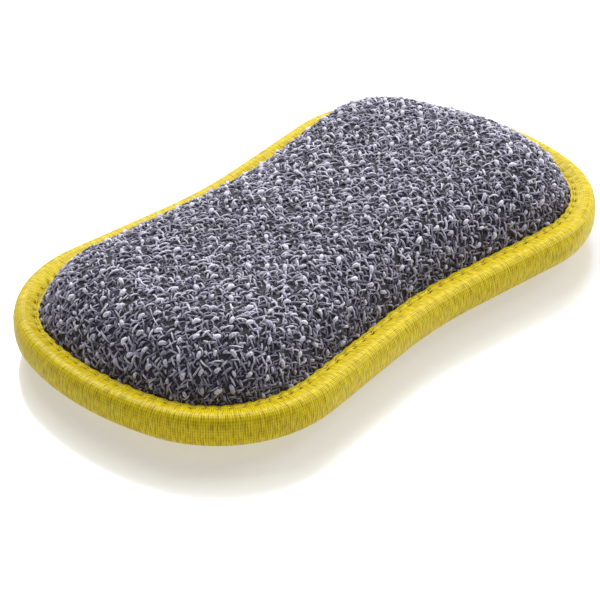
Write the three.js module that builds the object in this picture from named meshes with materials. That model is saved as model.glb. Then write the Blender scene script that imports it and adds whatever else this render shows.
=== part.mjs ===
// A washing-up pad: nubbly scouring cloth over a foam core with a soft wiping cloth under it,
// bound all round with a folded tape that is lock-stitched through every layer.
// Millimetres, +Z up. The pad lies on its wiping cloth, with the origin on that surface under its middle.

import * as THREE from 'three';

// Plan outline: round ends, fuller corners and a shallow waist on each long side
const LENGTH = 155;
const LOBE_WIDTH = 86;
const WAIST_HOLLOW = 3.9;
const END_RADIUS = 72;
const CORNER_RADIUS = 32;
const WAIST_RADIUS = 120;

// Bulges of the two faces beyond the binding
const EDGE_HEIGHT = 8;
const SHOULDER_RISE = 9.9;
const SHOULDER_REACH = 4.7;
const CROWN_RISE = 4.4;
const CROWN_REACH = 17;
const BACK_REACH = 14;

// Layers pressed together by the seam, from the top down, and the clearance between any two
const SCOURING_CLOTH = 1.3;
const FOAM_AT_SEAM = 0.6;
const WIPING_CLOTH = 0.9;
const LAYER_INSET = 1.8;
const CLEARANCE = 0.3;

// Binding tape, folded over the edge
const TAPE = 0.6;
const BINDING_WIDTH = 7.7;
const EDGE_THICKNESS = 8;
const NOSE_DEPTH = 2.8;
const NOSE_ROUNDNESS = 0.76;

// Lock stitch
const STITCH = 3.3;
const SEAM_FROM_TAPE_EDGE = 1.4;
const THREAD = 0.6;
const THREAD_LIFT = 0.3;

// Nubs of the scouring cloth, on a square lattice turned by an eighth of a turn
const NUB_PITCH = 4.1;
const NUB_HEIGHT = 0.7;

// Fineness of the facets
const STATIONS_PER_QUARTER = 18;
const NOSE_STEPS = 6;
const DOME_RINGS = 5;
const BACK_RINGS = 3;
const THREAD_SIDES = 3;

// Heights that follow from the layers
const SEAM_STACK = 2 * TAPE + SCOURING_CLOTH + FOAM_AT_SEAM + WIPING_CLOTH + 4 * CLEARANCE;
const SEAM_TOP = EDGE_HEIGHT + SEAM_STACK / 2;
const SEAM_BOTTOM = EDGE_HEIGHT - SEAM_STACK / 2;
const FACE_LEVEL = SEAM_TOP - TAPE - CLEARANCE;
const BACK_LEVEL = SEAM_BOTTOM + TAPE + CLEARANCE;
const BULGE_START = BINDING_WIDTH + CLEARANCE;

// A stretch of the outline that turns about a centre. A hollow stretch has a negative radius, so that
// its points are always the centre plus the radius times the outward normal.
class ArcStretch {
  constructor(centre, radius, from, to) {
    Object.assign(this, { centre, radius, from, to, length: Math.abs(radius * (to - from)) });
  }

  at(share) {
    const angle = this.from + (this.to - this.from) * share;
    const normal = new THREE.Vector2(Math.cos(angle), Math.sin(angle));
    return { point: normal.clone().multiplyScalar(this.radius).add(this.centre), normal };
  }

  depth(point) {
    const away = point.clone().sub(this.centre).multiplyScalar(Math.sign(this.radius));
    const angle = Math.atan2(away.y, away.x);
    const faces = angle >= Math.min(this.from, this.to) && angle <= Math.max(this.from, this.to);
    return faces ? this.radius - Math.sign(this.radius) * away.length() : Infinity;
  }
}

// A straight stretch of the outline
class FlankStretch {
  constructor(start, end, normal) {
    Object.assign(this, { start, normal, run: end.clone().sub(start), length: end.distanceTo(start) });
  }

  at(share) {
    return { point: this.start.clone().addScaledVector(this.run, share), normal: this.normal };
  }

  depth(point) {
    const away = point.clone().sub(this.start);
    const share = away.dot(this.run) / this.length ** 2;
    return share >= 0 && share <= 1 ? -away.dot(this.normal) : Infinity;
  }
}

// One quarter of the outline, from the middle of an end to the middle of a long side. Arcs meet in line,
// and the flank is the line that touches both the corner and the waist.
function quarterOutline() {
  const endCentre = new THREE.Vector2(LENGTH / 2 - END_RADIUS, 0);
  const cornerY = LOBE_WIDTH / 2 - CORNER_RADIUS;
  const cornerX = endCentre.x + Math.sqrt((END_RADIUS - CORNER_RADIUS) ** 2 - cornerY ** 2);
  const cornerCentre = new THREE.Vector2(cornerX, cornerY);
  const waistCentre = new THREE.Vector2(0, LOBE_WIDTH / 2 - WAIST_HOLLOW + WAIST_RADIUS);
  const endTurn = Math.atan2(cornerY, cornerX - endCentre.x);
  const between = waistCentre.clone().sub(cornerCentre);
  const lean = Math.acos((CORNER_RADIUS + WAIST_RADIUS) / between.length());
  const flankTurn = Math.atan2(between.y, between.x) - lean;
  const end = new ArcStretch(endCentre, END_RADIUS, 0, endTurn);
  const corner = new ArcStretch(cornerCentre, CORNER_RADIUS, endTurn, flankTurn);
  const waist = new ArcStretch(waistCentre, -WAIST_RADIUS, flankTurn, Math.PI / 2);
  const flank = new FlankStretch(corner.at(1).point, waist.at(0).point, corner.at(1).normal);
  return [end, corner, flank, waist];
}

const QUARTER = quarterOutline();
const QUARTER_LENGTH = QUARTER.reduce((sum, stretch) => sum + stretch.length, 0);
const SEAM_INSET = BINDING_WIDTH - SEAM_FROM_TAPE_EDGE;

// The outline's point and outward normal at a share of one quarter's length
function quarterAt(share) {
  let left = share * QUARTER_LENGTH;
  for (const stretch of QUARTER.slice(0, -1)) {
    if (left <= stretch.length) return stretch.at(left / stretch.length);
    left -= stretch.length;
  }
  const last = QUARTER.at(-1);
  return last.at(left / last.length);
}

// Evenly spaced stations all round, anticlockwise seen from above
function stationsRound(perQuarter) {
  const mirrors = [[1, 1], [-1, 1], [-1, -1], [1, -1]];
  return mirrors.flatMap(([mirrorX, mirrorY], quarter) =>
    Array.from({ length: perQuarter }, (_, i) => {
      const share = quarter % 2 === 0 ? i / perQuarter : 1 - i / perQuarter;
      const { point, normal } = quarterAt(share);
      return { x: mirrorX * point.x, y: mirrorY * point.y, nx: mirrorX * normal.x, ny: mirrorY * normal.y };
    }));
}

// How far a plan point lies inside the outline
function depthInside(x, y) {
  const folded = new THREE.Vector2(Math.abs(x), Math.abs(y));
  return Math.min(...QUARTER.map((stretch) => stretch.depth(folded)));
}

// Share by which a plan is bent, for each square millimetre of its distance from the middle
const PLAN_BEND = 1e-8;

// Points and triangles of one closed body that follows the outline
class Body {
  constructor(stations) {
    this.stations = stations;
    this.points = [];
    this.triangles = [];
  }

  addPoint(x, y, z) {
    return this.points.push(x, y, z) / 3 - 1;
  }

  // A ring at one depth inside the outline, at a height that may change from station to station
  addRing(depth, height, lift = () => 0) {
    return this.stations.map(({ x, y, nx, ny }, i) =>
      this.addPoint(x - nx * depth, y - ny * depth, height + lift(i)));
  }

  addQuad(a, b, c, d) {
    this.triangles.push([a, b, c], [a, c, d]);
  }

  // Skins the rings in turn. The outside is on the right of a ring that is followed from below.
  skin(rings, closed = false) {
    const last = closed ? rings.length : rings.length - 1;
    for (let i = 0; i < last; i += 1) {
      const ring = rings[i];
      const next = rings[(i + 1) % rings.length];
      ring.forEach((point, j) => {
        const k = (j + 1) % ring.length;
        this.addQuad(point, ring[k], next[k], next[j]);
      });
    }
  }

  addTriangle(corners, facesUp) {
    this.triangles.push(facesUp ? corners : [...corners].reverse());
  }

  // Fills a flat ring that is its own mirror image, by rungs from each point to the one across the length
  fillAcross(ring, facesUp) {
    const across = (i) => ring[(ring.length - i) % ring.length];
    for (let i = 0; i < ring.length / 2; i += 1) {
      if (i > 0) this.addTriangle([across(i), ring[i], ring[i + 1]], facesUp);
      if (i + 1 < ring.length / 2) this.addTriangle([across(i), ring[i + 1], across(i + 1)], facesUp);
    }
  }

  // Fills the band between a ring and a border inside it. The plan is bent very slightly, so that points in
  // a straight row turn away from the band and every one of them stays a corner of some triangle.
  fillBand(ring, border) {
    const bent = (share) => (index) => {
      const plan = new THREE.Vector2(this.points[3 * index], this.points[3 * index + 1]);
      return plan.multiplyScalar(1 + share * plan.lengthSq());
    };
    const indices = [...ring, ...border];
    const outer = ring.map(bent(PLAN_BEND));
    const inner = border.map(bent(-PLAN_BEND));
    const places = [...outer, ...inner];
    for (const face of THREE.ShapeUtils.triangulateShape(outer, [inner])) {
      const turnsUp = THREE.ShapeUtils.area(face.map((n) => places[n])) > 0;
      this.addTriangle(face.map((n) => indices[n]), turnsUp);
    }
  }

  geometry() {
    const geometry = new THREE.BufferGeometry();
    geometry.setAttribute('position', new THREE.Float32BufferAttribute(this.points, 3));
    geometry.setIndex(this.triangles.flat());
    geometry.computeVertexNormals();
    return geometry;
  }
}

// Rises quickly from 0 and levels out at 1
function easeOut(share) {
  return 1 - (1 - Math.min(Math.max(share, 0), 1)) ** 2;
}

// Height of the scouring cloth's upper side: a steep shoulder beside the binding, then a gentle crown
function faceHeight(depth) {
  const run = Math.max(depth - BULGE_START, 0);
  const shoulder = SHOULDER_RISE * (1 - Math.exp(-run / SHOULDER_REACH));
  return FACE_LEVEL + shoulder + CROWN_RISE * easeOut(run / CROWN_REACH);
}

// Height of the wiping cloth's lower side, which comes down to the flat that the pad lies on
function backHeight(depth) {
  return BACK_LEVEL * (1 - easeOut((depth - BULGE_START) / BACK_REACH));
}

// A face's section from its cut edge inwards, as points of depth and height, closer together where it turns
function faceSection(heightAt, rings, reach) {
  const bulge = Array.from({ length: rings + 1 }, (_, i) => BULGE_START + reach * (i / rings) ** 2);
  return [LAYER_INSET, ...bulge].map((depth) => new THREE.Vector2(depth, heightAt(depth)));
}

// The line that runs beside a section at one distance, to the left as the section is followed
function beside(section, distance) {
  const normals = section.slice(1).map((point, i) => {
    const run = point.clone().sub(section[i]).normalize();
    return new THREE.Vector2(-run.y, run.x);
  });
  return section.map((point, i) => {
    const before = normals[Math.max(i - 1, 0)];
    const after = normals[Math.min(i, normals.length - 1)];
    const mitre = before.clone().add(after).normalize();
    return point.clone().addScaledVector(mitre, distance / mitre.dot(before));
  });
}

const FACE_TOP = faceSection(faceHeight, DOME_RINGS, CROWN_REACH);
const BACK_BOTTOM = faceSection(backHeight, BACK_RINGS, BACK_REACH);
const STATIONS = stationsRound(STATIONS_PER_QUARTER);

function ringsOf(body, section) {
  return section.map(({ x, y }) => body.addRing(x, y));
}

// A sheet or core with a lower and an upper section, flat inside the innermost ring
function layer(lower, upper) {
  const body = new Body(STATIONS);
  const rings = ringsOf(body, [...lower].reverse().concat(upper));
  body.skin(rings);
  body.fillAcross(rings[0], false);
  body.fillAcross(rings.at(-1), true);
  return body.geometry();
}

function backFace() {
  return layer(BACK_BOTTOM, beside(BACK_BOTTOM, WIPING_CLOTH));
}

function foamCore() {
  return layer(beside(BACK_BOTTOM, WIPING_CLOTH + CLEARANCE), beside(FACE_TOP, -SCOURING_CLOTH - CLEARANCE));
}

// The part of a body's upper side that carries the nubs: half-pitch cells on the turned lattice, with
// every second corner both ways raised, and each cell split from its raised corner. Returns its border.
function addNubs(body, leastDepth) {
  const reach = Math.ceil(Math.hypot(LENGTH, LOBE_WIDTH) / NUB_PITCH) + 1;
  const step = NUB_PITCH * Math.SQRT1_2 / 2;
  const isNub = ([i, j]) => i % 2 === 0 && j % 2 === 0;
  const place = ([i, j]) => ({ x: (i - j) * step, y: (i + j) * step });
  const depth = (corner) => depthInside(place(corner).x, place(corner).y);
  const corners = new Map();
  const indexOf = (corner) => {
    const key = corner.join(' ');
    if (!corners.has(key)) {
      const { x, y } = place(corner);
      corners.set(key, body.addPoint(x, y, faceHeight(depth(corner)) + (isNub(corner) ? NUB_HEIGHT : 0)));
    }
    return corners.get(key);
  };
  const leadsTo = new Map();
  for (let i = -reach; i < reach; i += 1) {
    for (let j = -reach; j < reach; j += 1) {
      const around = [[i, j], [i + 1, j], [i + 1, j + 1], [i, j + 1]];
      if (around.every((corner) => depth(corner) > leastDepth)) {
        const first = around.findIndex(isNub);
        const cell = around.map((_, n) => indexOf(around[(first + n) % 4]));
        body.addQuad(...cell);
        cell.forEach((corner, n) => noteEdge(leadsTo, corner, cell[(n + 1) % 4]));
      }
    }
  }
  return borderOf(leadsTo);
}

// Notes an edge by its two ends, or strikes out the neighbouring cell's note of the same edge
function noteEdge(leadsTo, from, to) {
  if (leadsTo.get(to)?.delete(from)) return;
  leadsTo.set(from, (leadsTo.get(from) ?? new Set()).add(to));
}

// The loop through the edges that only one cell has
function borderOf(leadsTo) {
  const [start] = [...leadsTo].find(([, ends]) => ends.size > 0);
  const border = [start];
  let [next] = leadsTo.get(start);
  while (next !== start) {
    border.push(next);
    [next] = leadsTo.get(next);
  }
  return border;
}

function scouringFace() {
  const body = new Body(STATIONS);
  const rings = ringsOf(body, beside(FACE_TOP, -SCOURING_CLOTH).reverse().concat(FACE_TOP.slice(0, 2)));
  body.skin(rings);
  body.fillAcross(rings[0], false);
  body.fillBand(rings.at(-1), addNubs(body, BULGE_START + NUB_HEIGHT));
  return body.geometry();
}

// The folded tape's outer side, from the edge of its lower leg round the nose to that of its upper leg. The
// nose is a squarish oval: its two coordinates are powers of a cosine and a sine.
function bindingSection() {
  const nose = Array.from({ length: NOSE_STEPS + 1 }, (_, i) => {
    const angle = Math.PI * (i / NOSE_STEPS - 0.5);
    const out = Math.max(Math.cos(angle), 0) ** NOSE_ROUNDNESS;
    const up = Math.sign(Math.sin(angle)) * Math.abs(Math.sin(angle)) ** NOSE_ROUNDNESS;
    return new THREE.Vector2(NOSE_DEPTH * (1 - out), EDGE_HEIGHT + (EDGE_THICKNESS / 2) * up);
  });
  const lowerEdge = new THREE.Vector2(BINDING_WIDTH, SEAM_BOTTOM);
  const upperEdge = new THREE.Vector2(BINDING_WIDTH, SEAM_TOP);
  return [lowerEdge, ...nose, upperEdge];
}

function edgeBinding() {
  const body = new Body(STATIONS);
  const outer = bindingSection();
  body.skin(ringsOf(body, outer.concat(beside(outer, -TAPE).reverse())), true);
  return body.geometry();
}

// A seam's thread on the outside of a tape leg: it lifts between needle holes. side is 1 above, -1 below.
function seamThread(side) {
  const perQuarter = Math.round((QUARTER_LENGTH - SEAM_INSET * Math.PI / 2) / STITCH);
  const body = new Body(stationsRound(2 * perQuarter));
  const share = (SEAM_INSET - NOSE_DEPTH) / (BINDING_WIDTH - NOSE_DEPTH);
  const leg = THREE.MathUtils.lerp(EDGE_THICKNESS / 2, SEAM_STACK / 2, share);
  const middle = EDGE_HEIGHT + side * (leg + CLEARANCE + THREAD / 2);
  const rings = Array.from({ length: THREAD_SIDES }, (_, i) => {
    const angle = 2 * Math.PI * i / THREAD_SIDES;
    const depth = SEAM_INSET - (THREAD / 2) * Math.cos(angle);
    const height = middle + (THREAD / 2) * Math.sin(angle);
    return body.addRing(depth, height, (station) => (station % 2) * side * THREAD_LIFT);
  });
  body.skin(rings, true);
  return body.geometry();
}

function addPiece(group, name, geometry, color) {
  const material = new THREE.MeshStandardMaterial({ color, roughness: 0.9, metalness: 0 });
  const mesh = new THREE.Mesh(geometry, material);
  mesh.name = name;
  group.add(mesh);
}

const pad = new THREE.Group();
addPiece(pad, 'scouring_face', scouringFace(), 0x8b8794);
addPiece(pad, 'foam_core', foamCore(), 0xe9e4c8);
addPiece(pad, 'back_face', backFace(), 0xe3cf3a);
addPiece(pad, 'edge_binding', edgeBinding(), 0xe0c41e);
addPiece(pad, 'needle_thread', seamThread(1), 0xd9c22a);
addPiece(pad, 'bobbin_thread', seamThread(-1), 0xd9c22a);

export default pad;
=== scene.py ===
# %% [markdown]
# # A washing-up pad
# The pad is a sandwich: nubbly scouring cloth on top, foam in the middle, soft wiping cloth below, and a
# ribbed tape folded over the edge and lock-stitched through everything. The solid model gives the frame:
# every visible piece here follows the same outline and sits in the space that its solid holds.

import bpy
import numpy as np
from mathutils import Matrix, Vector


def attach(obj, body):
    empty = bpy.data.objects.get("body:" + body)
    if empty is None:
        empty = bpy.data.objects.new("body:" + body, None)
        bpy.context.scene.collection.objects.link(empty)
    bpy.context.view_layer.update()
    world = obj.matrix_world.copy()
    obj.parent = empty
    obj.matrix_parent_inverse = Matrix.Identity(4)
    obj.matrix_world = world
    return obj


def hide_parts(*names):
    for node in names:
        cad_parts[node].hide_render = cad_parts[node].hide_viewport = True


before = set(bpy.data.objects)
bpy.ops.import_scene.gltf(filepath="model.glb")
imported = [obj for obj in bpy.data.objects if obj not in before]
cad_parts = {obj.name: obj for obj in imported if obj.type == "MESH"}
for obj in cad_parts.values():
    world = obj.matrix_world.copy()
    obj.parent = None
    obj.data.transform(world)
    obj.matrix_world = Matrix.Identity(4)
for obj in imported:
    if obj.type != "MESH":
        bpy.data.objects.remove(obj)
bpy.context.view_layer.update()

MM = 0.001
print("solids:", sorted(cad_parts))

# %% [markdown]
# ## Sizes
# These are the sizes that the solids were made from, in millimetres. They are named again here because the
# soft pieces need the outline itself, and not only the box round each solid.

# %% Outline, layers and heights
LENGTH = 155.0
LOBE_WIDTH = 86.0
WAIST_HOLLOW = 3.9
END_RADIUS = 72.0
CORNER_RADIUS = 32.0
WAIST_RADIUS = 120.0

EDGE_HEIGHT = 8.0
SHOULDER_RISE = 9.9
SHOULDER_REACH = 4.7
CROWN_RISE = 4.4
CROWN_REACH = 17.0
BACK_REACH = 14.0

SCOURING_CLOTH = 1.3
FOAM_AT_SEAM = 0.6
WIPING_CLOTH = 0.9
LAYER_INSET = 1.8
CLEARANCE = 0.3

TAPE = 0.6
BINDING_WIDTH = 7.7
EDGE_THICKNESS = 8.0
NOSE_DEPTH = 2.8
NOSE_ROUNDNESS = 0.76

SEAM_INSET = BINDING_WIDTH - 1.4
STITCHES_PER_QUARTER = 30

SEAM_HALF = (2 * TAPE + SCOURING_CLOTH + FOAM_AT_SEAM + WIPING_CLOTH + 4 * CLEARANCE) / 2
FACE_LEVEL = EDGE_HEIGHT + SEAM_HALF - TAPE - CLEARANCE
BACK_LEVEL = EDGE_HEIGHT - SEAM_HALF + TAPE + CLEARANCE
BULGE_START = BINDING_WIDTH + CLEARANCE
print("cloth leaves the binding", round(FACE_LEVEL, 2), "mm above the table")

# %% [markdown]
# ## The outline
# One quarter of the outline is an end arc, a tighter corner arc, a straight flank and a hollow waist arc,
# each meeting the next in line. A hollow arc has a negative radius, so a point of any arc is its centre
# plus its radius times the outward normal. Mirroring the quarter twice gives the whole.

# %% The four stretches of a quarter
end_x = LENGTH / 2 - END_RADIUS
corner_y = LOBE_WIDTH / 2 - CORNER_RADIUS
corner_x = end_x + np.sqrt((END_RADIUS - CORNER_RADIUS) ** 2 - corner_y**2)
waist_y = LOBE_WIDTH / 2 - WAIST_HOLLOW + WAIST_RADIUS
end_turn = np.arctan2(corner_y, corner_x - end_x)
span = np.hypot(corner_x, waist_y - corner_y)
lean = np.arccos((CORNER_RADIUS + WAIST_RADIUS) / span)
flank_turn = np.arctan2(waist_y - corner_y, -corner_x) - lean
ARCS = [
    ((end_x, 0.0), END_RADIUS, 0.0, end_turn),
    ((corner_x, corner_y), CORNER_RADIUS, end_turn, flank_turn),
    ((0.0, waist_y), -WAIST_RADIUS, flank_turn, np.pi / 2),
]


def arc_points(arc, shares):
    """Centre plus radius times the normal (cos a, sin a), as the angle a goes from one end to the other."""
    (centre_x, centre_y), radius, start, stop = arc
    angle = start + (stop - start) * shares
    normal = np.stack([np.cos(angle), np.sin(angle)], -1)
    return np.array([centre_x, centre_y]) + radius * normal, normal


FLANK_START = arc_points(ARCS[1], np.array(1.0))[0]
FLANK_END = arc_points(ARCS[2], np.array(0.0))[0]
FLANK_NORMAL = np.array([np.cos(flank_turn), np.sin(flank_turn)])


# %% Points along the quarter, and feet of points inside it
def dense_quarter(step=0.05):
    """Points, normals and running length along end, corner, flank and waist, at about one step apart."""
    points, normals = [], []
    for stretch in (ARCS[0], ARCS[1], None, ARCS[2]):
        if stretch is None:
            length = np.hypot(*(FLANK_END - FLANK_START))
            share = np.linspace(0, 1, int(length / step))[:-1, None]
            points.append(FLANK_START + share * (FLANK_END - FLANK_START))
            normals.append(np.repeat(FLANK_NORMAL[None], len(share), 0))
        else:
            length = abs(stretch[1] * (stretch[3] - stretch[2]))
            last = None if stretch is ARCS[2] else -1
            place, normal = arc_points(stretch, np.linspace(0, 1, int(length / step))[:last])
            points.append(place)
            normals.append(normal)
    points, normals = np.concatenate(points), np.concatenate(normals)
    run = np.concatenate([[0], np.cumsum(np.hypot(*np.diff(points, axis=0).T))])
    return points, normals, run


QUARTER_POINTS, QUARTER_NORMALS, QUARTER_RUN = dense_quarter()
QUARTER_LENGTH = QUARTER_RUN[-1]


def quarter_at(share):
    """Outline point and outward normal at a share of the quarter's length, read off the dense points."""
    run = np.asarray(share) * QUARTER_LENGTH
    read = lambda column: np.interp(run, QUARTER_RUN, column)
    point = np.stack([read(QUARTER_POINTS[:, 0]), read(QUARTER_POINTS[:, 1])], -1)
    normal = np.stack([read(QUARTER_NORMALS[:, 0]), read(QUARTER_NORMALS[:, 1])], -1)
    return point, normal / np.linalg.norm(normal, axis=-1, keepdims=True)


def stations_round(count_per_quarter):
    """Evenly spaced outline points and normals all round, anticlockwise from the middle of the right end."""
    share = np.arange(count_per_quarter) / count_per_quarter
    there, back = quarter_at(share), quarter_at(1 - share)
    flips = [((1, 1), there), ((-1, 1), back), ((-1, -1), there), ((1, -1), back)]
    points = np.concatenate([point * flip for flip, (point, normal) in flips])
    normals = np.concatenate([normal * flip for flip, (point, normal) in flips])
    return points, normals


def foot(place):
    """Depth inside the outline and outward normal at the nearest outline point, for an array of places.
    Each stretch gives a depth where a place lies square to it, and the least depth is the true one."""
    sign = np.where(place < 0, -1.0, 1.0)
    folded = np.abs(place)
    depth = np.full(place.shape[:-1], np.inf)
    normal = np.zeros(place.shape)
    for centre, radius, start, stop in ARCS:
        away = (folded - np.array(centre)) * np.sign(radius)
        length = np.linalg.norm(away, axis=-1)
        angle = np.arctan2(away[..., 1], away[..., 0])
        here = radius - np.sign(radius) * length
        square = (angle >= min(start, stop) - 1e-6) & (angle <= max(start, stop) + 1e-6)
        nearer = square & (here < depth)
        depth = np.where(nearer, here, depth)
        normal = np.where(nearer[..., None], away / np.maximum(length, 1e-9)[..., None], normal)
    run = FLANK_END - FLANK_START
    share = (folded - FLANK_START) @ run / (run @ run)
    here = -(folded - FLANK_START) @ FLANK_NORMAL
    nearer = (share >= 0) & (share <= 1) & (here < depth)
    depth = np.where(nearer, here, depth)
    normal = np.where(nearer[..., None], FLANK_NORMAL, normal)
    return depth, normal * sign


print("outline", round(4 * QUARTER_LENGTH, 1), "mm round")

# %% Width of the binding round the outline
END_WIDTH = 7.0
FLANK_WIDTH = 8.1
CORNER_LOSS = 1.4


def width_shift(normal):
    """How much narrower than its solid the tape is. Its width goes from the end's to the flank's with the
    square of the normal's y, and it loses a little at two opposite corners, where it was sewn on tighter."""
    width = END_WIDTH + (FLANK_WIDTH - END_WIDTH) * normal[..., 1] ** 2
    tight = np.maximum(-2 * normal[..., 0] * normal[..., 1], 0)
    return BINDING_WIDTH - width + CORNER_LOSS * tight


# %% [markdown]
# ## From flat cloth to pulled cloth
# The cloth is cut flat, a little larger than the pad, and then pulled down over the shoulder of the foam.
# A knit drawn on the plan would stretch on that slope, so every point keeps the place it had on the flat
# cloth: its depth there is the plan depth less the extra length that the slope between takes up.

# %% Heights of the two faces
TABLE_STEP = 0.02
SLOPE_STEP = 0.05


def ease_out(share):
    """One less the square of what is left: rises quickly from 0 and levels out at 1."""
    return 1 - (1 - np.clip(share, 0, 1)) ** 2


def face_height(depth):
    """A shoulder that dies away with depth, plus a crown that levels out further in."""
    run = np.maximum(depth - BULGE_START, 0)
    shoulder = SHOULDER_RISE * (1 - np.exp(-run / SHOULDER_REACH))
    return FACE_LEVEL + shoulder + CROWN_RISE * ease_out(run / CROWN_REACH)


def back_height(depth):
    """From the binding down to the flat on which the pad lies."""
    return BACK_LEVEL * (1 - ease_out((depth - BULGE_START) / BACK_REACH))


def pulled_depth(height_at):
    """Table from depth on the flat cloth to depth on the plan, from the slope's extra length."""
    plan = np.arange(LAYER_INSET, LOBE_WIDTH, TABLE_STEP)
    slope = np.gradient(height_at(plan), plan)
    extra = np.cumsum((np.sqrt(1 + slope**2) - 1)[::-1])[::-1] * (plan[1] - plan[0])
    return plan - extra, plan


FACE_TABLE = pulled_depth(face_height)
BACK_TABLE = pulled_depth(back_height)
SWELLS = ((36.0, 31.0, 20.0, 1.9), (61.0, 16.0, 15.0, -1.9), (-8.0, 26.0, 14.0, 0.7))
SWELL_EASE = 9.0


def swell(place, plan):
    """Slow unevenness of the foam: bells, each with x, y, reach and rise, that die out at the binding."""
    total = np.zeros(plan.shape)
    for centre_x, centre_y, reach, rise in SWELLS:
        away = np.hypot(place[..., 0] - centre_x, place[..., 1] - centre_y)
        total += rise * np.exp(-((away / reach) ** 2))
    return total * ease_out((plan - BULGE_START) / SWELL_EASE)


def pull(flat, height_at, table):
    """Pulled point, surface normal and plan depth at places on the flat cloth. Each place moves in along its
    foot's normal, and the surface leans out by the slope of the height."""
    depth, normal = foot(flat)
    depth = depth + width_shift(normal)
    plan = np.interp(depth, *table)
    place = flat + normal * (depth - plan)[..., None]
    height = height_at(plan)
    if height_at is face_height:
        height = height + swell(place, plan)
    slope = (height_at(plan + SLOPE_STEP) - height_at(plan - SLOPE_STEP)) / (2 * SLOPE_STEP)
    lean = np.concatenate([normal * slope[..., None], np.ones((*plan.shape, 1))], -1)
    lean /= np.linalg.norm(lean, axis=-1, keepdims=True)
    return np.concatenate([place, height[..., None]], -1), lean, plan


# %% [markdown]
# ## A grid of nested outlines
# A square grid can carry any such face without a pole: each square ring of the grid becomes a shrunken copy
# of the outline. The cells stay about as long as they are wide if each side of the square gets the share of
# the outline that matches its number of cells.

# %% Grid, mesh and attribute helpers
def nested_grid(cells_x, cells_y, outset):
    """Grid places whose outer ring is the outline moved out by outset, ring r being r times the outer one."""
    across, along = np.meshgrid(
        np.linspace(-1, 1, cells_x + 1), np.linspace(-1, 1, cells_y + 1), indexing="ij"
    )
    far, near = np.abs(across), np.abs(along)
    ring = np.maximum(far, near)
    corner = cells_y / (cells_x + cells_y)
    safe = np.maximum(ring, 1e-9)
    share = np.where(far >= near, corner * near / safe, 1 - (1 - corner) * far / safe)
    point, normal = quarter_at(share)
    place = (point + normal * outset) * ring[..., None]
    return place * np.stack([np.where(across < 0, -1, 1), np.where(along < 0, -1, 1)], -1)


def grid_faces(rows, columns, first=0):
    """Quads between neighbouring rows and columns, turned anticlockwise seen from above."""
    index = first + np.arange(rows * columns).reshape(rows, columns)
    corners = [index[:-1, :-1], index[1:, :-1], index[1:, 1:], index[:-1, 1:]]
    return np.stack(corners, -1).reshape(-1, 4)


def grid_rim(rows, columns, first=0):
    """The indices round a grid's edge, anticlockwise from its first corner."""
    index = first + np.arange(rows * columns).reshape(rows, columns)
    return np.concatenate([index[:-1, 0], index[-1, :-1], index[:0:-1, -1], index[0, :0:-1]])


def rim_band(fine, coarse):
    """Triangles between a fine rim and a coarse rim below it, which has a whole fraction of its points."""
    ratio = len(fine) // len(coarse)
    step = np.arange(len(fine))
    owner = ((step + ratio // 2) // ratio) % len(coarse)
    down = np.stack([fine[(step + 1) % len(fine)], fine[step], coarse[owner]], -1)
    k = np.arange(len(coarse))
    middle = k * ratio + ratio // 2
    up = np.stack([coarse[k], coarse[(k + 1) % len(coarse)], fine[middle]], -1)
    return np.concatenate([down, up])


def make_piece(name, points, quads, triangles=None, smooth=True):
    """A mesh object from whole arrays: points in millimetres, faces as rows of indices."""
    triangles = np.zeros((0, 3), int) if triangles is None else triangles
    mesh = bpy.data.meshes.new(name)
    mesh.vertices.add(len(points))
    mesh.vertices.foreach_set("co", (np.asarray(points) * MM).astype(np.float32).ravel())
    corners = np.concatenate([np.ravel(quads), np.ravel(triangles)]).astype(np.int32)
    sizes = np.concatenate([np.full(len(quads), 4), np.full(len(triangles), 3)])
    mesh.loops.add(len(corners))
    mesh.loops.foreach_set("vertex_index", corners)
    mesh.polygons.add(len(sizes))
    mesh.polygons.foreach_set("loop_start", (np.cumsum(sizes) - sizes).astype(np.int32))
    mesh.polygons.foreach_set("use_smooth", np.full(len(sizes), smooth))
    mesh.update(calc_edges=True)
    mesh.validate()
    piece = bpy.data.objects.new(name, mesh)
    bpy.context.scene.collection.objects.link(piece)
    print(name, len(points), "points,", int((sizes - 2).sum()), "triangles")
    return piece


def keep(piece, name, values):
    """Stores one number per point, for the material to read."""
    attribute = piece.data.attributes.new(name, "FLOAT", "POINT")
    attribute.data.foreach_set("value", np.asarray(values, np.float32).ravel())


def keep_places(piece, name, places):
    """Stores a flat place per point, in metres, as the piece's own UV map."""
    layer = piece.data.uv_layers.new(name=name)
    corner = np.zeros(len(piece.data.loops), np.int32)
    piece.data.loops.foreach_get("vertex_index", corner)
    layer.data.foreach_set("uv", (np.asarray(places)[corner] * MM).astype(np.float32).ravel())


# %% [markdown]
# ## Scouring cloth
# The cloth is knitted from loose twisted yarn. A ground cloth carries thousands of short loops that cross
# each other in two directions, and rows of thick pale nubs stand up between them. The ground is coloured near
# black, partly for dark yarn and partly as painted shade in the gaps between the loops.

# %% Ground cloth
CLOTH_CELLS = (256, 152)
UNDER_RATIO = 4


def close_face(name, outer, inner, up=True):
    """Joins a fine outer grid and a coarse inner grid into one closed cloth."""
    fine = grid_faces(*outer.shape[:2])
    coarse = grid_faces(*inner.shape[:2], first=outer[..., 0].size)
    fine_rim = grid_rim(*outer.shape[:2])
    coarse_rim = grid_rim(*inner.shape[:2], first=outer[..., 0].size)
    band = rim_band(fine_rim, coarse_rim)
    points = np.concatenate([outer.reshape(-1, 3), inner.reshape(-1, 3)])
    quads = np.concatenate([fine, coarse[:, ::-1]])
    if not up:
        quads, band = quads[:, ::-1], band[:, ::-1]
    return make_piece(name, points, quads, band)


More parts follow.
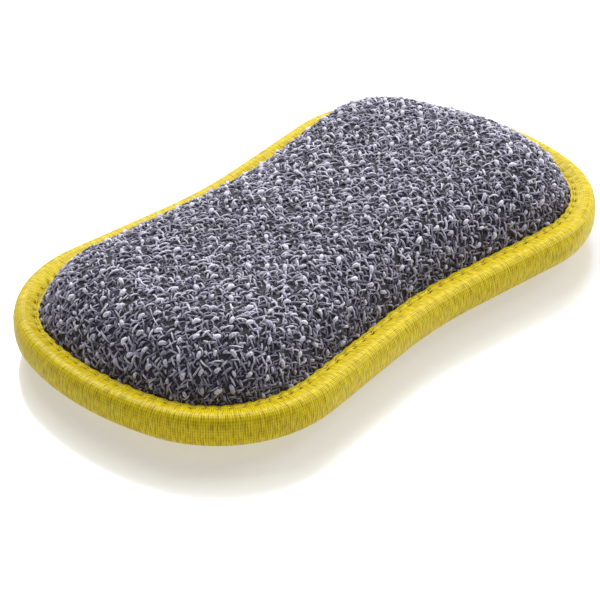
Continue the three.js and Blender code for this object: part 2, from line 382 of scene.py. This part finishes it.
def sheet(name, height_at, table, thickness, relief):
    """A pulled sheet with its relief added to the height of its showing side, and its flat places kept."""
    flat = nested_grid(*CLOTH_CELLS, outset=-table[0][0])
    surface, lean, _ = pull(flat, height_at, table)
    side = 1 if height_at is face_height else -1
    inner = (surface - side * lean * [side, side, 1] * thickness)[::UNDER_RATIO, ::UNDER_RATIO]
    surface[..., 2] += relief(flat)
    piece = close_face(name, surface, inner, up=side > 0)
    places = np.concatenate([flat.reshape(-1, 2), flat[::UNDER_RATIO, ::UNDER_RATIO].reshape(-1, 2)])
    keep_places(piece, "cloth", places)
    return piece


cloth = sheet("scouring_cloth", face_height, FACE_TABLE, SCOURING_CLOTH, lambda flat: 0.0)

# %% [markdown]
# ### Yarn
# Every loop and nub is a short closed tube laid on the ground cloth. Its two ends dive under the surface and
# its middle stands up, so where loops cross, some pass over and others under.

# %% Tubes of yarn on the cloth
DIVE = 0.45
RISE_LEAD = 0.3
RISE_RUN = 0.8
END_TAPER = 0.9
PAINTED_SHADE_REACH = 2.5
random = np.random.default_rng(11)


def lattice(pitch, jitter):
    """Places on a square lattice turned by an eighth of a turn, each moved at random by a share of the pitch,
    whether both of its lattice numbers are even, and how much painted shade it gets there: yarn near the
    binding is darkened to stand in for the shade at the foot of the cloth's slope. Only places clear of the
    binding are given."""
    reach = int(LENGTH / pitch)
    i, j = np.meshgrid(np.arange(-reach, reach + 1), np.arange(-reach, reach + 1), indexing="ij")
    turned = (np.stack([i, j], -1) + random.uniform(-jitter, jitter, (*i.shape, 2))) * pitch
    flat = np.stack([turned[..., 0] - turned[..., 1], turned[..., 0] + turned[..., 1]], -1) * np.sqrt(0.5)
    depth, normal = foot(flat)
    clear = np.interp(depth + width_shift(normal), *FACE_TABLE) - BULGE_START
    even = (i % 2 == 0) & (j % 2 == 0)
    # Painted shade: the yarn's colour is darkened near the binding, fading further in.
    painted_shade = np.exp(-np.maximum(clear, 0) / PAINTED_SHADE_REACH)
    kept = (clear > 0) & (depth > 0)
    return flat[kept], even[kept], painted_shade[kept]


def yarn_tubes(centre, turn, length, thickness, rise, bow, rings, sides):
    """Points by tube, ring, side and coordinate. Along a tube the ring's middle follows its direction, bows
    sideways and rises as the cosine of the share from its middle, but stays low right beside the binding.
    The rings shrink towards both ends."""
    share = np.linspace(-0.5, 0.5, rings)
    arch = np.cos(np.pi * share)
    direction = np.stack([np.cos(turn), np.sin(turn)], -1)[:, None]
    across = direction[..., ::-1] * [-1, 1]
    flat = centre[:, None] + direction * (length[:, None] * share)[..., None]
    flat = flat + across * (bow[:, None] * arch)[..., None]
    ground, lean, plan = pull(flat, face_height, FACE_TABLE)
    clear = np.clip((plan - BULGE_START + RISE_LEAD) / RISE_RUN, 0, 1)
    spine = ground + lean * (((rise[:, None] + DIVE) * arch) * clear - DIVE)[..., None]
    forward = np.gradient(spine, axis=1)
    beside = np.cross(lean, forward)
    beside /= np.linalg.norm(beside, axis=-1, keepdims=True)
    above = np.cross(forward, beside)
    above /= np.linalg.norm(above, axis=-1, keepdims=True)
    angle = (2 * np.pi * (np.arange(sides) + 0.5) / sides)[:, None]
    ring = beside[:, :, None] * np.cos(angle) + above[:, :, None] * np.sin(angle)
    radius = thickness[:, None] / 2 * np.sqrt(1 - END_TAPER * (2 * share) ** 2)
    return spine[:, :, None] + ring * radius[..., None, None]


def yarn_piece(name, tubes, tone_and_painted_light):
    """One mesh of many tubes. Each tube is a row of quads round its rings and a flat end at both ends. The
    tone of a tube, with its painted light and shade, and the place along and round it go with its points."""
    count, rings, sides = tubes.shape[:3]
    index = np.arange(count * rings * sides).reshape(count, rings, sides)
    near, far = index[:, :-1], index[:, 1:]
    quads = [np.stack([near, np.roll(near, -1, 2), np.roll(far, -1, 2), far], -1).reshape(-1, 4)]
    for start in range(1, sides - 1, 2):
        fan = [0, start, start + 1, start + 2]
        quads += [index[:, 0, fan[::-1]], index[:, -1, fan]]
    piece = make_piece(name, tubes.reshape(-1, 3), np.concatenate(quads))
    keep(piece, "tone_and_painted_light", np.repeat(tone_and_painted_light, rings * sides))
    step = np.linalg.norm(tubes[:, -1, 0] - tubes[:, 0, 0], axis=-1)[:, None, None] / (rings - 1)
    along = step * np.arange(rings)[None, :, None] + np.zeros((1, 1, sides))
    around = np.broadcast_to(np.arange(sides) / sides, along.shape)
    keep_places(piece, "yarn", np.stack([along, around], -1).reshape(-1, 2))
    return piece


# %% Loops in two directions
LOOP_PITCH = 1.64
LOOP_RINGS = 6
LOOP_SIDES = 4
STEEP_SLANT = 65.0
LEVEL_SLANT = -22.0


def loops(name, slant):
    """Loops strewn by about a fifth of a right angle round one slant; higher loops get a paler tone, which is
    painted light.
    """
    centre, _, painted_shade = lattice(LOOP_PITCH, 0.5)
    many = len(centre)
    turn = np.radians(slant) + random.normal(0, 0.3, many)
    length = random.uniform(2.4, 4.6, many)
    thickness = random.uniform(0.36, 0.62, many)
    rise = random.uniform(0.0, 0.62, many)
    # Random tone, with painted light making higher loops paler and painted shade darkening loops beside the
    # binding.
    tone_and_painted_light = np.clip(random.uniform(0.0, 0.72, many) + 0.4 * rise, 0, 1) * (1 - 0.35 * painted_shade)
    bow = random.normal(0, 0.35, many)
    tubes = yarn_tubes(centre, turn, length, thickness, rise, bow, LOOP_RINGS, LOOP_SIDES)
    return yarn_piece(name, tubes, tone_and_painted_light)


steep_loops = loops("steep_loops", STEEP_SLANT)
level_loops = loops("level_loops", LEVEL_SLANT)

# %% Nubs, and small knots between them
NUB_PITCH = 4.1
NUB_RINGS = 5
NUB_SIDES = 6
NUB_SLANTS = (STEEP_SLANT, LEVEL_SLANT, 20.0)


def nubs():
    """A thick pale nub where both numbers of a lattice at half the nub pitch are even, and a small knot at
    its other places."""
    centre, even, painted_shade = lattice(NUB_PITCH / 2, 0.2)
    many = len(centre)
    size = np.where(even, random.uniform(0.65, 1.2, many), random.uniform(0.5, 0.95, many))
    turn = np.radians(random.choice(NUB_SLANTS, many)) + random.normal(0, 0.35, many)
    length = np.where(even, 2.2, 2.0) * size
    thickness = np.where(even, 1.02, 0.8) * size
    rise = np.where(even, random.uniform(0.35, 0.7, many), random.uniform(0.0, 0.5, many))
    tone_and_painted_light = np.where(even, random.uniform(0.75, 1.0, many), random.uniform(0.35, 0.85, many))
    # Painted shade beside the binding darkens the nubs' tone.
    tone_and_painted_light = tone_and_painted_light * (1 - 0.25 * painted_shade)
    bow = random.normal(0, 0.15, many)
    tubes = yarn_tubes(centre, turn, length, thickness, rise, bow, NUB_RINGS, NUB_SIDES)
    return yarn_piece("yarn_nubs", tubes, tone_and_painted_light)


yarn_nubs = nubs()

# %% [markdown]
# ## Wiping cloth
# The side that the pad lies on is a soft cloth with a short pile. It bulges only a little, because the
# pad's weight presses it flat in the middle.

# %% Wiping cloth
PILE_RELIEF = 0.16


def pile(flat):
    """Shallow tufts from two slanted sines, which never reach below the flat that the pad rests on."""
    tufts = np.sin(flat[..., 0] * 3.1 + np.sin(flat[..., 1] * 2.3)) * np.sin(flat[..., 1] * 2.9)
    return PILE_RELIEF * (1 + tufts) / 2


back = sheet("wiping_cloth", back_height, BACK_TABLE, WIPING_CLOTH, pile)

# %% [markdown]
# ## Binding tape
# The tape is a ribbed band folded over the edge. Its section is carried round the outline at stations closer
# together than a thread is thick. The stitches pull it down in a row of dimples near its inner edge, and
# between them it puckers and its edge reaches a little further in.

# %% Binding section and its carry round the outline
STATIONS_PER_STITCH = 14
LEG_STEPS = (5, 9)
NOSE_STEPS = 13
INNER_STRIDE = 4
SELVEDGE = 0.5
SELVEDGE_RISE = 0.14
HOLE_DEPTH = 0.6
HOLE_SLANT = 0.2
HOLE_ALONG = 0.17
HOLE_ACROSS = 0.55
PUCKER_RISE = 0.07
SLOW_RISE = 0.09
EDGE_WAVE = 0.16


def tape_section():
    """Depth and height of the tape's outer side: lower leg, squarish oval nose, upper leg. The legs have
    longer steps near the nose and shorter ones near the seam."""
    angle = np.pi * (np.linspace(0, 1, NOSE_STEPS) - 0.5)
    out = np.maximum(np.cos(angle), 0) ** NOSE_ROUNDNESS
    up = np.sign(np.sin(angle)) * np.abs(np.sin(angle)) ** NOSE_ROUNDNESS
    nose = np.stack([NOSE_DEPTH * (1 - out), EDGE_THICKNESS / 2 * up], -1)
    coarse = np.linspace(0, 0.5, LEG_STEPS[0] + 1)[1:]
    fine = np.linspace(0.5, 1, LEG_STEPS[1] + 1)[1:]
    share = np.concatenate([coarse, fine])[:, None]
    upper = nose[-1] + share * (np.array([BINDING_WIDTH, SEAM_HALF]) - nose[-1])
    return np.concatenate([upper[::-1] * [1, -1], nose, upper])


def section_normals(section):
    """Normals of the section's line, pointing out of the tape."""
    run = np.gradient(section, axis=0)
    normal = np.stack([-run[:, 1], run[:, 0]], -1)
    return normal / np.linalg.norm(normal, axis=1, keepdims=True)


def carry(depth, height, points, normals):
    """Points at each station's depth inside the outline and height above the edge's middle. The part of a
    section that lies inside the nose moves out where the tape is narrower."""
    leg = np.clip((depth - NOSE_DEPTH) / (BINDING_WIDTH - NOSE_DEPTH), 0, 1)
    depth = depth - leg * width_shift(normals)[:, None]
    plan = points[:, None] - normals[:, None] * depth[..., None]
    return np.concatenate([plan, EDGE_HEIGHT + height[..., None]], -1)


def tube_piece(name, points):
    """A closed ring of closed sections, from its points by station and place in the section."""
    stations, section = points.shape[:2]
    index = np.arange(stations * section).reshape(stations, section)
    ahead, beside = np.roll(index, -1, 0), np.roll(index, -1, 1)
    quads = np.stack([index, ahead, np.roll(ahead, -1, 1), beside], -1).reshape(-1, 4)
    return make_piece(name, points.reshape(-1, 3), quads)


def tape_surface():
    """The section moved along its normals by a slanted bell at each needle hole, by puckers between the
    holes and by slow waves. Its selvedge is raised and its edge waves in step with the stitches."""
    points, normals = stations_round(STITCHES_PER_QUARTER * STATIONS_PER_STITCH)
    section = tape_section()
    out = section_normals(section)
    stitch = np.arange(len(points))[:, None] / STATIONS_PER_STITCH
    from_hole = (stitch + 0.5) % 1 - 0.5
    side = np.where(section[:, 1] > 0, 1.0, -1.0)
    leg = np.clip((section[:, 0] - NOSE_DEPTH) / (BINDING_WIDTH - NOSE_DEPTH), 0, 1)
    from_seam = section[:, 0] - SEAM_INSET
    uneven = np.random.default_rng(5)
    stitch_count = 4 * STITCHES_PER_QUARTER
    tension = uneven.uniform(0.5, 1.0, stitch_count)[np.round(stitch).astype(int) % stitch_count]
    along_hole = (from_hole - HOLE_SLANT * from_seam) / HOLE_ALONG
    hole = tension * np.exp(-(along_hole**2) - (from_seam / HOLE_ACROSS) ** 2)
    pucker = tension * np.cos(2 * np.pi * from_hole) * np.exp(-((from_seam / 2.0) ** 2))
    turn = 2 * np.pi * stitch / stitch_count
    slow = np.sin(23 * turn + 1.3) * np.sin(31 * turn) + 0.6 * np.sin(57 * turn + section[:, 0] / 2)
    relief = -HOLE_DEPTH * hole - PUCKER_RISE * pucker + SLOW_RISE * slow * leg**0.5
    selvedge = np.clip((section[:, 0] - BINDING_WIDTH + SELVEDGE) / SELVEDGE, 0, 1)
    wave = EDGE_WAVE * tension * np.cos(2 * np.pi * from_hole) + 0.05 * np.sin(101 * turn)
    depth = section[:, 0] + out[:, 0] * relief - wave * leg**3
    height = section[:, 1] + out[:, 1] * relief + side * SELVEDGE_RISE * selvedge
    inner = section[::-INNER_STRIDE] - out[::-INNER_STRIDE] * TAPE
    inner_depth = np.broadcast_to(inner[:, 0], (len(points), len(inner)))
    inner_height = np.broadcast_to(inner[:, 1], inner_depth.shape)
    surface = carry(
        np.concatenate([depth, inner_depth], 1), np.concatenate([height, inner_height], 1), points, normals
    )
    # Painted shade: the dimple at each needle hole is kept so that the material can darken it.
    hole_shade = np.concatenate([hole * np.ones(depth.shape), np.zeros(inner_depth.shape)], 1)
    return surface, hole_shade, section


tape_points, tape_hole_shade, tape_line = tape_surface()
tape = tube_piece("binding_tape", tape_points)
keep(tape, "hole_shade", tape_hole_shade)
along_tape = np.arange(len(tape_points)) * 4 * QUARTER_LENGTH / len(tape_points)
line_run = np.concatenate([[0], np.cumsum(np.hypot(*np.diff(tape_line, axis=0).T))])
line_run = np.concatenate([line_run, line_run[::-INNER_STRIDE]])
tape_places = np.stack(np.broadcast_arrays(along_tape[:, None], line_run[None]), -1)
keep_places(tape, "tape", tape_places.reshape(-1, 2))

# %% [markdown]
# ## Sewing thread
# A lock stitch shows as a short length of thread between two needle holes, on both sides of the work. One
# thread runs all round above and one below, and each dives into the tape at every hole.

# %% Needle and bobbin threads
THREAD = 0.36
THREAD_STATIONS = 12
THREAD_SIDES = 8
THREAD_DIVE = 0.5


def thread(name, side):
    """A round tube along the seam: its height is an arch between holes, sunk below the tape at each hole."""
    points, normals = stations_round(STITCHES_PER_QUARTER * THREAD_STATIONS)
    share = np.arange(len(points)) / THREAD_STATIONS % 1
    leg = (SEAM_INSET - NOSE_DEPTH) / (BINDING_WIDTH - NOSE_DEPTH)
    tape_top = EDGE_THICKNESS / 2 + leg * (SEAM_HALF - EDGE_THICKNESS / 2)
    arch = np.sqrt(np.clip(np.sin(np.pi * share), 0, 1))
    middle = side * (tape_top - THREAD_DIVE + THREAD_DIVE * arch)
    angle = 2 * np.pi * np.arange(THREAD_SIDES) / THREAD_SIDES
    depth = SEAM_INSET - THREAD / 2 * np.cos(angle) + np.zeros((len(points), 1))
    height = middle[:, None] + THREAD / 2 * np.sin(angle)
    return tube_piece(name, carry(depth, height, points, normals))


needle = thread("needle_stitches", 1)
bobbin = thread("bobbin_stitches", -1)

# %% [markdown]
# ## Colours and nodes
# Colours are written as they look, in sRGB hex, and turned to the linear values that the renderer works in.
# One helper adds a node, sets it up and fills its inputs with numbers or with other nodes' outputs. The
# others do a sum, start an empty material and end it in its shader.

# %% Colour and node helpers
def linear(hex_colour):
    """sRGB hex to linear red, green, blue and 1, by the sRGB curve."""
    channels = np.array([int(hex_colour[k : k + 2], 16) for k in (1, 3, 5)]) / 255
    curve = np.where(channels <= 0.04045, channels / 12.92, ((channels + 0.055) / 1.055) ** 2.4)
    return (*curve.tolist(), 1.0)


def add(tree, kind, inputs=None, stops=None, **settings):
    """Adds a shader node with its settings, its ramp stops and its inputs, which are values or sockets."""
    node = tree.nodes.new("ShaderNode" + kind)
    for name, value in settings.items():
        setattr(node, name, value)
    for socket, value in (inputs or {}).items():
        if isinstance(value, bpy.types.NodeSocket):
            tree.links.new(value, node.inputs[socket])
        else:
            node.inputs[socket].default_value = value
    for k, (position, colour) in enumerate(stops or []):
        element = node.color_ramp.elements[k] if k < 2 else node.color_ramp.elements.new(position)
        element.position = position
        element.color = colour
    return node


def maths(tree, operation, *inputs):
    """The result of one Math node, whose inputs are values or sockets in their order."""
    return add(tree, "Math", dict(enumerate(inputs)), operation=operation).outputs[0]


def new_material(name):
    """A material and its empty node tree."""
    material = bpy.data.materials.new(name)
    material.use_nodes = True
    material.node_tree.nodes.clear()
    return material, material.node_tree


def end_material(tree, colour, bump, settings):
    """Ends a tree in a principled shader with this colour and bump and its other settings."""
    inputs = {"Base Color": colour.outputs["Color"], "Normal": bump.outputs["Normal"], **settings}
    shader = add(tree, "BsdfPrincipled", inputs)
    add(tree, "OutputMaterial", {"Surface": shader.outputs["BSDF"]})


# %% [markdown]
# ### Scouring yarn
# Hard-wearing textured polyester yarn in greys with a little lavender. Each tube has one tone, which also
# carries painted light: paler for higher loops, darker beside the binding. The material adds the twist of the
# yarn, slanted stripes of two plies 0.35 mm apart along it whose darker grooves are painted shade, and finer
# fibres.

# %% Yarn material
PLY_SPACING = 0.35
PLIES = 2


def yarn_material():
    material, tree = new_material("textured_polyester_yarn")
    tone_and_painted_light = add(tree, "Attribute", attribute_name="tone_and_painted_light").outputs["Fac"]
    place = add(tree, "UVMap", uv_map="yarn").outputs["UV"]
    split = add(tree, "SeparateXYZ", {"Vector": place})
    along = maths(tree, "MULTIPLY", split.outputs["X"], 1 / (PLY_SPACING * MM))
    ply = maths(tree, "MULTIPLY_ADD", split.outputs["Y"], PLIES / MM, along)
    twist = maths(tree, "SINE", maths(tree, "MULTIPLY", ply, 2 * np.pi))
    object_place = add(tree, "TexCoord").outputs["Object"]
    fibre = add(tree, "TexNoise", {"Vector": object_place, "Scale": 2600.0, "Detail": 2.0})
    # The ply stripes darken the colour in the grooves between plies as painted shade, besides raising the
    # bump.
    level = maths(tree, "MULTIPLY_ADD", twist, 0.05, tone_and_painted_light)
    grain = maths(tree, "SUBTRACT", fibre.outputs["Fac"], 0.5)
    level = maths(tree, "MULTIPLY_ADD", grain, 0.7, level)
    colour = add(
        tree,
        "ValToRGB",
        {"Fac": level},
        stops=[
            (0.0, linear("#1d1a23")),
            (1.0, linear("#eeebf6")),
            (0.35, linear("#6b6777")),
            (0.7, linear("#aaa6b6")),
        ],
    )
    bump = add(tree, "Bump", {"Strength": 0.5, "Distance": 0.0001, "Height": level})
    end_material(tree, colour, bump, {"Roughness": 0.6, "Specular IOR Level": 0.3})
    return material


# %% [markdown]
# ### Ribbed binding tape
# Woven polyester tape in bright yellow. Ribs 0.55 mm apart run across it, each a little uneven in colour
# along its length, and fainter lines 0.75 mm apart run lengthwise; their grooves are darkened in colour as
# painted shade, on top of their bump. The needle holes are darkened as painted shade in their dimples.

# %% Tape, thread, wiping cloth and foam materials
RIB_SPACING = 0.55
LINE_SPACING = 0.75


def tape_material():
    material, tree = new_material("woven_polyester_tape")
    place = add(tree, "UVMap", uv_map="tape").outputs["UV"]
    hole_shade = add(tree, "Attribute", attribute_name="hole_shade").outputs["Fac"]
    split = add(tree, "SeparateXYZ", {"Vector": place})
    sway = add(tree, "TexNoise", {"Vector": place, "Scale": 260.0, "Detail": 1.0}, noise_dimensions="2D")
    rib_turn = maths(tree, "MULTIPLY", split.outputs["X"], 2 * np.pi / (RIB_SPACING * MM))
    rib = maths(tree, "COSINE", maths(tree, "MULTIPLY_ADD", sway.outputs["Fac"], 9.0, rib_turn))
    line_turn = maths(tree, "MULTIPLY", split.outputs["Y"], 2 * np.pi / (LINE_SPACING * MM))
    line = maths(tree, "COSINE", line_turn)
    stretched = add(tree, "Mapping", {"Vector": place, "Scale": (1700.0, 420.0, 1.0)})
    streak = add(
        tree, "TexNoise", {"Vector": stretched.outputs[0], "Scale": 1.0, "Detail": 2.0}, noise_dimensions="2D"
    )
    grain = maths(tree, "SUBTRACT", streak.outputs["Fac"], 0.5)
    # The ribs and lengthwise lines darken the colour in their grooves as painted shade, besides raising the
    # bump; the streaks are the tape's own uneven tone.
    weave_and_groove_shade = maths(tree, "MULTIPLY_ADD", rib, 0.15, 0.55)
    weave_and_groove_shade = maths(tree, "MULTIPLY_ADD", line, 0.05, weave_and_groove_shade)
    weave_and_groove_shade = maths(tree, "MULTIPLY_ADD", grain, 0.8, weave_and_groove_shade)
    # Painted shade in the needle-hole dimples.
    level = maths(tree, "MULTIPLY_ADD", hole_shade, -0.5, weave_and_groove_shade)
    colour = add(
        tree,
        "ValToRGB",
        {"Fac": level},
        stops=[(0.1, linear("#6b5500")), (0.9, linear("#e9d81c")), (0.5, linear("#c8ad00"))],
    )
    bump = add(tree, "Bump", {"Strength": 0.6, "Distance": 0.0002, "Height": weave_and_groove_shade})
    end_material(tree, colour, bump, {"Roughness": 0.42, "Specular IOR Level": 0.2})
    return material


def plain_fibre_material(name, dark, pale, scale, roughness, bump_height):
    """Fibre with a fine uneven surface: noise mixes two close colours and raises a bump."""
    material, tree = new_material(name)
    place = add(tree, "TexCoord").outputs["Object"]
    uneven = add(tree, "TexNoise", {"Vector": place, "Scale": scale, "Detail": 4.0})
    colour = add(
        tree, "ValToRGB", {"Fac": uneven.outputs["Fac"]}, stops=[(0.3, linear(dark)), (0.7, linear(pale))]
    )
    bump = add(tree, "Bump", {"Strength": 0.7, "Distance": bump_height, "Height": uneven.outputs["Fac"]})
    end_material(tree, colour, bump, {"Roughness": roughness, "IOR": 1.5})
    return material


# The ground's near-black colour is partly dark yarn and partly painted shade in the gaps between the loops.
cloth.data.materials.append(
    plain_fibre_material("knitted_ground_with_painted_gap_shade", "#0a080d", "#1f1c26", 1500.0, 0.8, 0.0003)
)
yarn_finish = yarn_material()
for yarn in (steep_loops, level_loops, yarn_nubs):
    yarn.data.materials.append(yarn_finish)
tape.data.materials.append(tape_material())
thread_finish = plain_fibre_material("spun_polyester_thread", "#c7a90a", "#efdc3c", 3000.0, 0.55, 0.0001)
needle.data.materials.append(thread_finish)
bobbin.data.materials.append(thread_finish)
back.data.materials.append(
    plain_fibre_material("microfibre_terry", "#cdb21c", "#efdf5a", 900.0, 0.9, 0.0006)
)
foam_finish = plain_fibre_material("open_cell_foam", "#cfc9a6", "#f1ecd4", 1400.0, 0.9, 0.0004)
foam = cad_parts["foam_core"]
foam.data.materials.clear()
foam.data.materials.append(foam_finish)

# %% [markdown]
# ## Which piece stands for which solid
# The pad is one body. Each piece rides on it and hides the solid it replaces; the slot column names a
# material slot, which the loop does not read. The foam is hidden between the cloths, so its solid stays.

# %% Ride and replace; the slot column is not read
for piece, node, slot in (
    (cloth, "scouring_face", "scouring_cloth"),
    (steep_loops, "scouring_face", "scouring_cloth"),
    (level_loops, "scouring_face", "scouring_cloth"),
    (yarn_nubs, "scouring_face", "scouring_cloth"),
    (back, "back_face", "wiping_cloth"),
    (tape, "edge_binding", "binding_tape"),
    (needle, "needle_thread", "sewing_thread"),
    (bobbin, "bobbin_thread", "sewing_thread"),
):
    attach(piece, "root")
    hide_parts(node)

# %% [markdown]
# ## Floor, light and camera
# The pad lies on a light table of glossy opal acrylic, which glows a little and shows the pad mirrored, pale
# and soft. The other light comes mostly from above and behind, which leaves the front of the binding and the
# front slope of the cloth a shade darker.

# %% Floor and world
FLOOR_SIZE = 6.0
MIRROR_SHARE = 0.22
GLOW = 0.42


def floor_material():
    """A matt pale grey with a share of a soft mirror laid over it, and the table's own glow added."""
    material, tree = new_material("glossy_opal_acrylic")
    matt = add(tree, "BsdfDiffuse", {"Color": linear("#adacab")})
    mirror = add(tree, "BsdfAnisotropic", {"Color": linear("#f7f6f5"), "Roughness": 0.16})
    both = add(tree, "MixShader", {0: MIRROR_SHARE, 1: matt.outputs[0], 2: mirror.outputs[0]})
    glow = add(tree, "Emission", {"Color": linear("#ffffff"), "Strength": GLOW})
    lit = add(tree, "AddShader", {0: both.outputs[0], 1: glow.outputs[0]})
    add(tree, "OutputMaterial", {"Surface": lit.outputs[0]})
    return material


def floor():
    half = FLOOR_SIZE / 2 / MM
    corners = np.array([[-half, -half, 0], [half, -half, 0], [half, half, 0], [-half, half, 0]])
    plane = make_piece("floor", corners, np.array([[0, 1, 2, 3]]), smooth=False)
    plane.data.materials.append(floor_material())


floor()
world = bpy.data.worlds.new("pale_room")
bpy.context.scene.world = world
world.use_nodes = True
world_tree = world.node_tree
world_tree.nodes.clear()
path = add(world_tree, "LightPath")
open_view = maths(world_tree, "MAXIMUM", path.outputs["Is Camera Ray"], path.outputs["Is Glossy Ray"])
room = add(world_tree, "Background", {"Color": (0.9, 0.94, 1.0, 1.0), "Strength": 0.4})
white = add(world_tree, "Background", {"Color": (1.0, 1.0, 1.0, 1.0), "Strength": 1.0})
mixed = add(world_tree, "MixShader", {0: open_view, 1: room.outputs[0], 2: white.outputs[0]})
add(world_tree, "OutputWorld", {"Surface": mixed.outputs[0]})


# %% Lamps
def softbox(name, place, size, power, target=(0.0, 0.0, 0.01)):
    """A square lamp that faces the pad."""
    lamp = bpy.data.lights.new(name, "AREA")
    lamp.size = size
    lamp.energy = power
    holder = bpy.data.objects.new(name, lamp)
    holder.location = place
    holder.rotation_euler = (Vector(target) - Vector(place)).to_track_quat("-Z", "Y").to_euler()
    bpy.context.scene.collection.objects.link(holder)


softbox("back_softbox", place=(0.42, 0.62, 0.95), size=0.8, power=16.0)
softbox("right_fill", place=(1.2, -0.4, 0.75), size=0.7, power=13.0)

# %% Camera
CAMERA_AZIMUTH = np.radians(-47.63)
CAMERA_ELEVATION = np.radians(33.4)
CAMERA_DISTANCE = 0.5856
CAMERA_LENS = 150.26
CAMERA_TARGET = Vector((-0.0160, -0.0099, EDGE_HEIGHT * MM))
camera_data = bpy.data.cameras.new("camera")
camera_data.lens = CAMERA_LENS
camera = bpy.data.objects.new("camera", camera_data)
back_axis = Vector(
    (
        np.sin(CAMERA_AZIMUTH) * np.cos(CAMERA_ELEVATION),
        -np.cos(CAMERA_AZIMUTH) * np.cos(CAMERA_ELEVATION),
        np.sin(CAMERA_ELEVATION),
    )
)
camera.location = CAMERA_TARGET + back_axis * CAMERA_DISTANCE
camera.rotation_euler = (-back_axis).to_track_quat("-Z", "Y").to_euler()
bpy.context.scene.collection.objects.link(camera)
bpy.context.scene.camera = camera
bpy.context.scene.view_settings.view_transform = "Standard"
